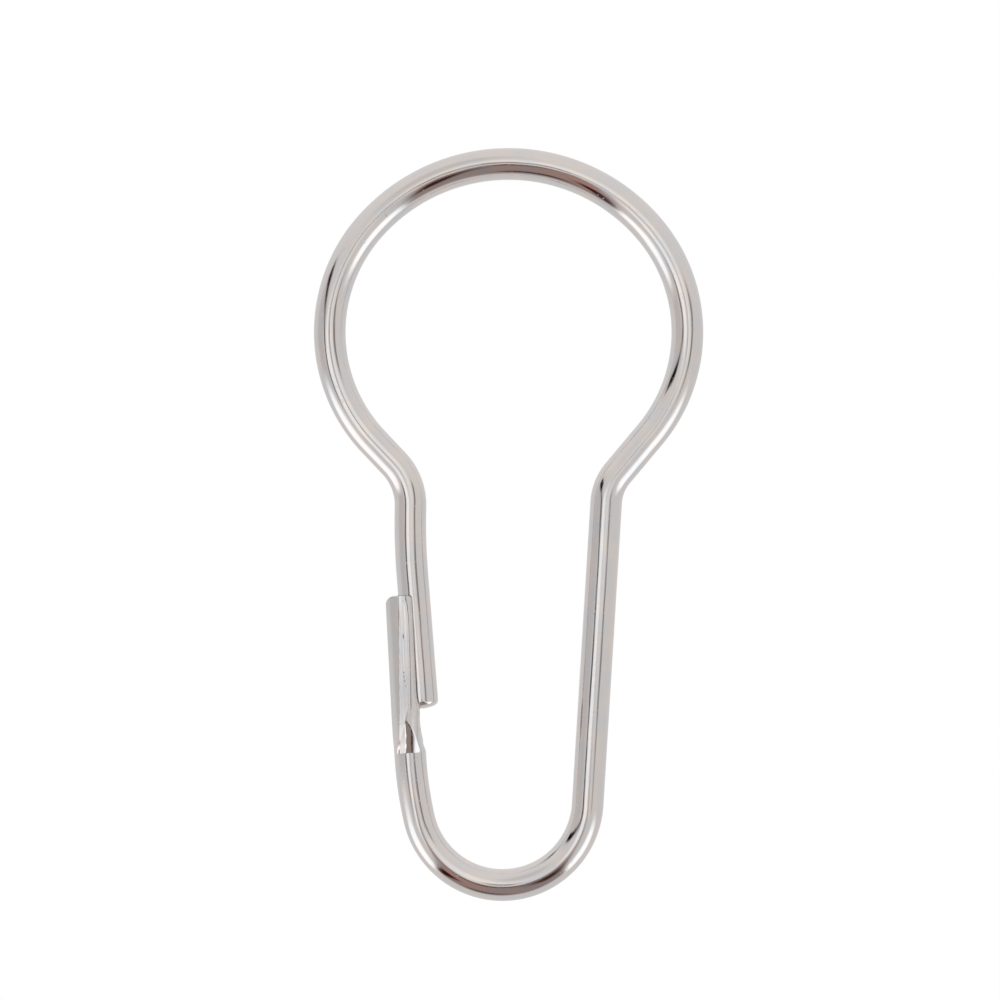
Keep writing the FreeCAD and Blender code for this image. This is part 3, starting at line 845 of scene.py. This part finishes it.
def plated_wire():
    """Bright plating with drawn lines, a slow wave, small pits and uneven polish."""
    material = bpy.data.materials.new("plated_wire")
    material.use_nodes = True
    tree = material.node_tree
    shader = tree.nodes["Principled BSDF"]
    shader.inputs["Metallic"].default_value = 1
    place = tree.nodes.new("ShaderNodeAttribute")
    place.attribute_name = "wire_run"
    spot = place.outputs["Vector"]

    lines = noise(tree, spot, DRAWN_LINES, 3.0, 0.6)
    wave = noise(tree, spot, SLOW_WAVE, 1.0)
    clouds = noise(tree, spot, (0.5, 0.5, 0.5), 3.0)
    pits = ease(tree, noise(tree, spot, (PITS_PER_MM,) * 3, 2.0), 0.68, 0.76)

    tint = tree.nodes.new("ShaderNodeMixRGB")
    tint.inputs["Color1"].default_value = WARM_PLATE
    tint.inputs["Color2"].default_value = COOL_PLATE
    tree.links.new(ease(tree, clouds, 0.35, 0.65), tint.inputs["Fac"])
    tree.links.new(tint.outputs["Color"], shader.inputs["Base Color"])

    polish = ease(tree, clouds, 0.3, 0.7, 0.05, 0.10)
    streaks = ease(tree, lines, 0.4, 0.8, 0.0, 0.06)
    dull = compute(tree, "ADD", compute(tree, "ADD", polish, streaks),
                   compute(tree, "MULTIPLY", pits, 0.12))
    tree.links.new(dull, shader.inputs["Roughness"])

    normal = emboss(tree, lines, 0.9e-5)
    normal = emboss(tree, wave, 2.5e-5, normal)
    normal = emboss(tree, compute(tree, "SUBTRACT", 1.0, pits), 4e-6, normal)
    tree.links.new(normal, shader.inputs["Normal"])
    return material


hook.data.materials.clear()
hook.data.materials.append(plated_wire())
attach(hook, "root")
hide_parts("hook")
print("plating:", len(hook.data.materials[0].node_tree.nodes), "nodes")

# %% [markdown]
# ## Floor, light and camera
# The hook hangs a little above a pale matt floor, as on a sheet of card. The camera sees the
# floor mostly as white, and the rest is real light, so the floor still takes a faint shadow.

# %% Floor
FLOOR_GAP = 12.0
FLOOR_SIDE = 0.5
FLOOR_SHARE = 0.8
FLOOR_WHITE = 1.09


def seeing_rays(tree, mirrored):
    """1 for rays that see the white: the camera's, those through glass, and mirrored ones."""
    rays = tree.nodes.new("ShaderNodeLightPath")
    seen = compute(tree, "MAXIMUM", rays.outputs["Is Camera Ray"],
                   rays.outputs["Is Transmission Ray"])
    return compute(tree, "MAXIMUM", seen,
                   compute(tree, "MULTIPLY", rays.outputs["Is Glossy Ray"], mirrored))


def add_floor():
    """A pale floor under the hook, which hangs clear of it."""
    fresh_start()
    bpy.ops.mesh.primitive_plane_add(size=FLOOR_SIDE,
                                     location=(0, 0, hook_low.z - FLOOR_GAP * MM))
    floor = bpy.context.object
    floor.name = "floor"
    material = bpy.data.materials.new("pale_floor")
    material.use_nodes = True
    tree = material.node_tree
    shader = tree.nodes["Principled BSDF"]
    shader.inputs["Base Color"].default_value = (0.9, 0.9, 0.9, 1)
    shader.inputs["Roughness"].default_value = 0.9
    white = tree.nodes.new("ShaderNodeEmission")
    white.inputs["Strength"].default_value = FLOOR_WHITE
    mix = tree.nodes.new("ShaderNodeMixShader")
    seen = seeing_rays(tree, 1.0)
    tree.links.new(compute(tree, "MULTIPLY", seen, FLOOR_SHARE), mix.inputs[0])
    tree.links.new(shader.outputs[0], mix.inputs[1])
    tree.links.new(white.outputs[0], mix.inputs[2])
    tree.links.new(mix.outputs[0], tree.nodes["Material Output"].inputs["Surface"])
    floor.data.materials.append(material)
    floor.visible_glossy = False
    print("floor, mm under the hook's lowest point:", FLOOR_GAP)


add_floor()

# %% [markdown]
# A mirror shows what stands round it, so most of the look of plated wire is its surroundings.
# Here they are painted into the world by direction: a light room, a lamp low on either
# side, a brown desk edge below the camera, and dark stands that draw the thin black lines along
# the wire. The shapes were set until the wire looked like a picture of a real hook, so
# they suit this one view. Directions are given by `side`, the angle seen from the front (0 is
# right, 90 is up), and `off`, the angle away from the camera. The camera itself sees plain
# white, and so do mirrored rays toward the backdrop behind the hook.

# %% Shapes in the surroundings
DEGREE = math.degrees(1)


def toward(side, off):
    """The unit direction at a clock angle and an angle away from the camera."""
    side, off = math.radians(side), math.radians(off)
    return Vector((math.sin(off) * math.cos(side), -math.cos(off), math.sin(off) * math.sin(side)))


def angle_from(tree, way, target):
    """Degrees between the looked-at direction and a target."""
    near = combine(tree, "DOT_PRODUCT", way, tuple(target), result=1)
    return compute(tree, "MULTIPLY", compute(tree, "ARCCOSINE", near), DEGREE)


def angle_over(tree, way, normal):
    """Degrees above the plane through the hook with this normal."""
    lift = combine(tree, "DOT_PRODUCT", way, tuple(normal), result=1)
    return compute(tree, "MULTIPLY", compute(tree, "ARCSINE", lift), DEGREE)


def glow(tree, way, side, off, core, edge):
    """A round soft area."""
    return ease(tree, angle_from(tree, way, toward(side, off)), core, edge, 1, 0)


def fan(tree, way, side, spread, soft):
    """The wedge between two straight edges that run out from the camera."""
    inside = toward(side, 45)
    shares = []
    for sign in (-1, 1):
        edge = math.radians(side + sign * spread)
        normal = Vector((math.sin(edge), 0, -math.cos(edge)))
        if normal.dot(inside) < 0:
            normal = -normal
        shares.append(ease(tree, angle_over(tree, way, normal), -soft, soft))
    return compute(tree, "MULTIPLY", *shares)


def belt(tree, way, rise, full, fall, gone):
    """A ring round the camera, between two angles."""
    off = angle_from(tree, way, toward(0, 0))
    return compute(tree, "MULTIPLY", ease(tree, off, rise, full), ease(tree, off, fall, gone, 1, 0))


def strip(tree, way, start, stop, core, edge, past):
    """A straight thin thing from one direction to another."""
    first, last = toward(*start), toward(*stop)
    over = angle_over(tree, way, first.cross(last).normalized())
    across = ease(tree, compute(tree, "ABSOLUTE", over), core, edge, 1, 0)
    reach = math.degrees(first.angle(last)) / 2
    away = angle_from(tree, way, (first + last).normalized())
    return compute(tree, "MULTIPLY", across, ease(tree, away, reach - past, reach + past, 1, 0))


# %% [markdown]
# Each shape is a soft mask with the light that it adds or takes away, and all of them are
# summed on top of the room's own colour. The names say what each one stands for, so that a
# line on the wire can be traced back to its shape.

# %% The studio
ROOM = (0.706, 0.675, 0.654)
BACKDROP = (18, 30)


def studio_shapes(tree, way):
    """Each shape's mask and how much light it adds or takes away."""
    split = tree.nodes.new("ShaderNodeSeparateXYZ")
    tree.links.new(way, split.inputs[0])
    desk = fan(tree, way, 269, 39, 3)
    beside = compute(tree, "SUBTRACT", 1.0, desk)

    def on_desk(mask):
        return compute(tree, "MULTIPLY", desk, mask)

    def off_desk(mask):
        return compute(tree, "MULTIPLY", beside, mask)

    def both(one, other):
        return compute(tree, "MULTIPLY", one, other)

    return {
        "ceiling": (ease(tree, split.outputs["Z"], -0.2, 0.9), (0.09, 0.085, 0.08)),
        "far_wall": (ease(tree, split.outputs["Y"], 0.0, 0.85), (0.012, 0.025, 0.043)),
        "desk": (on_desk(belt(tree, way, 4, 8, 64, 84)), (-0.40, -0.43, -0.425)),
        "desk_near_edge": (both(fan(tree, way, 261, 12, 6), belt(tree, way, 56, 60, 62, 66)),
                           (-0.26, -0.24, -0.22)),
        "desk_red_left": (both(fan(tree, way, 247, 12, 8), belt(tree, way, 8, 14, 34, 60)),
                          (0.08, -0.01, -0.03)),
        "desk_red_right": (both(fan(tree, way, 285, 10, 8), belt(tree, way, 5, 8, 14, 22)),
                           (0.10, 0.0, -0.02)),
        "desk_dark_right": (strip(tree, way, (290, 18), (299, 42), 2.0, 6.5, 5),
                            (-0.26, -0.23, -0.22)),
        "desk_dark_left": (strip(tree, way, (242, 38), (232, 68), 2.0, 6.5, 5),
                           (-0.28, -0.24, -0.22)),
        "lamp_left": (off_desk(strip(tree, way, (215, 52), (212, 96), 11, 26, 9)),
                      (0.60, 0.62, 0.63)),
        "lamp_right": (off_desk(strip(tree, way, (324, 48), (322, 86), 11, 27, 9)),
                       (0.60, 0.64, 0.68)),
        "stand_left": (strip(tree, way, (200, 33), (172, 34), 2.5, 7.0, 4),
                       (-0.60, -0.58, -0.55)),
        "stand_left_bent": (strip(tree, way, (174, 35), (162, 52), 1.0, 4.5, 3),
                            (-0.47, -0.47, -0.46)),
        "stand_left_dark": (strip(tree, way, (162, 50), (155, 76), 2.5, 5.5, 4),
                            (-0.64, -0.62, -0.60)),
        "stand_right": (strip(tree, way, (344, 27), (20, 40), 2.0, 6.5, 4),
                        (-0.46, -0.46, -0.44)),
        "side_left": (glow(tree, way, 176, 66, 12, 34), (-0.13, -0.13, -0.12)),
        "shade_high": (glow(tree, way, 110, 45, 6, 22), (-0.13, -0.13, -0.13)),
        "camera": (strip(tree, way, (87, 2), (86, 9), 1.5, 3.2, 2.5), (-0.62, -0.60, -0.58)),
        "camera_stand": (strip(tree, way, (269, 9), (267, 15), 1.2, 2.6, 2),
                         (-0.42, -0.38, -0.36)),
        "key": (glow(tree, way, 55, 15, 4, 24), (0.24, 0.225, 0.20)),
        "front": (off_desk(glow(tree, way, 192, 17, 7, 13)), (0.34, 0.345, 0.345)),
        "window": (glow(tree, way, 180, 4, 3, 8), (-0.02, 0.01, 0.04)),
    }


def add_studio():
    """The world: the studio for light and mirror rays, plain white for the camera."""
    world = bpy.data.worlds.new("studio")
    bpy.context.scene.world = world
    world.use_nodes = True
    tree = world.node_tree
    place = tree.nodes.new("ShaderNodeTexCoord")
    way = combine(tree, "NORMALIZE", place.outputs["Generated"])
    light = tree.nodes.new("ShaderNodeCombineXYZ").outputs[0]
    for socket, value in zip(light.node.inputs, ROOM):
        socket.default_value = value
    shapes = studio_shapes(tree, way)
    for mask, tint in shapes.values():
        light = combine(tree, "MULTIPLY_ADD", mask, tint, light)
    light = combine(tree, "MAXIMUM", light, (0, 0, 0))
    surround = tree.nodes["Background"]
    tree.links.new(light, surround.inputs["Color"])
    white = tree.nodes.new("ShaderNodeBackground")
    white.inputs["Color"].default_value = (1, 1, 1, 1)
    mix = tree.nodes.new("ShaderNodeMixShader")
    backdrop = ease(tree, angle_from(tree, way, Vector((0, 1, 0))), *BACKDROP, 1, 0)
    tree.links.new(seeing_rays(tree, backdrop), mix.inputs[0])
    tree.links.new(surround.outputs[0], mix.inputs[1])
    tree.links.new(white.outputs[0], mix.inputs[2])
    tree.links.new(mix.outputs[0], tree.nodes["World Output"].inputs["Surface"])
    print("studio:", len(shapes), "shapes")


add_studio()

# %% [markdown]
# The camera looks level and square at the middle of the hook from twenty-eight centimetres,
# through a long lens, so both sides of the wire are seen almost without slant.

# %% Camera
PIXEL = 0.0935
IMAGE = 1000
LENS = 107.0
SENSOR = 36.0
AIM = (-0.80, -15.68)


def add_camera():
    """Level with the middle of the hook and square on to it, as the hook was pictured."""
    data = bpy.data.cameras.new("camera")
    data.lens = LENS
    data.sensor_width = SENSOR
    data.clip_start = 0.01
    camera = bpy.data.objects.new("camera", data)
    bpy.context.scene.collection.objects.link(camera)
    distance = PIXEL * IMAGE * LENS / SENSOR
    camera.location = Vector((AIM[0], -distance, AIM[1])) * MM
    camera.rotation_euler = (math.pi / 2, 0, 0)
    bpy.context.scene.camera = camera
    print("camera distance, mm:", round(distance, 1))


add_camera()
bpy.context.scene.view_settings.view_transform = "Standard"
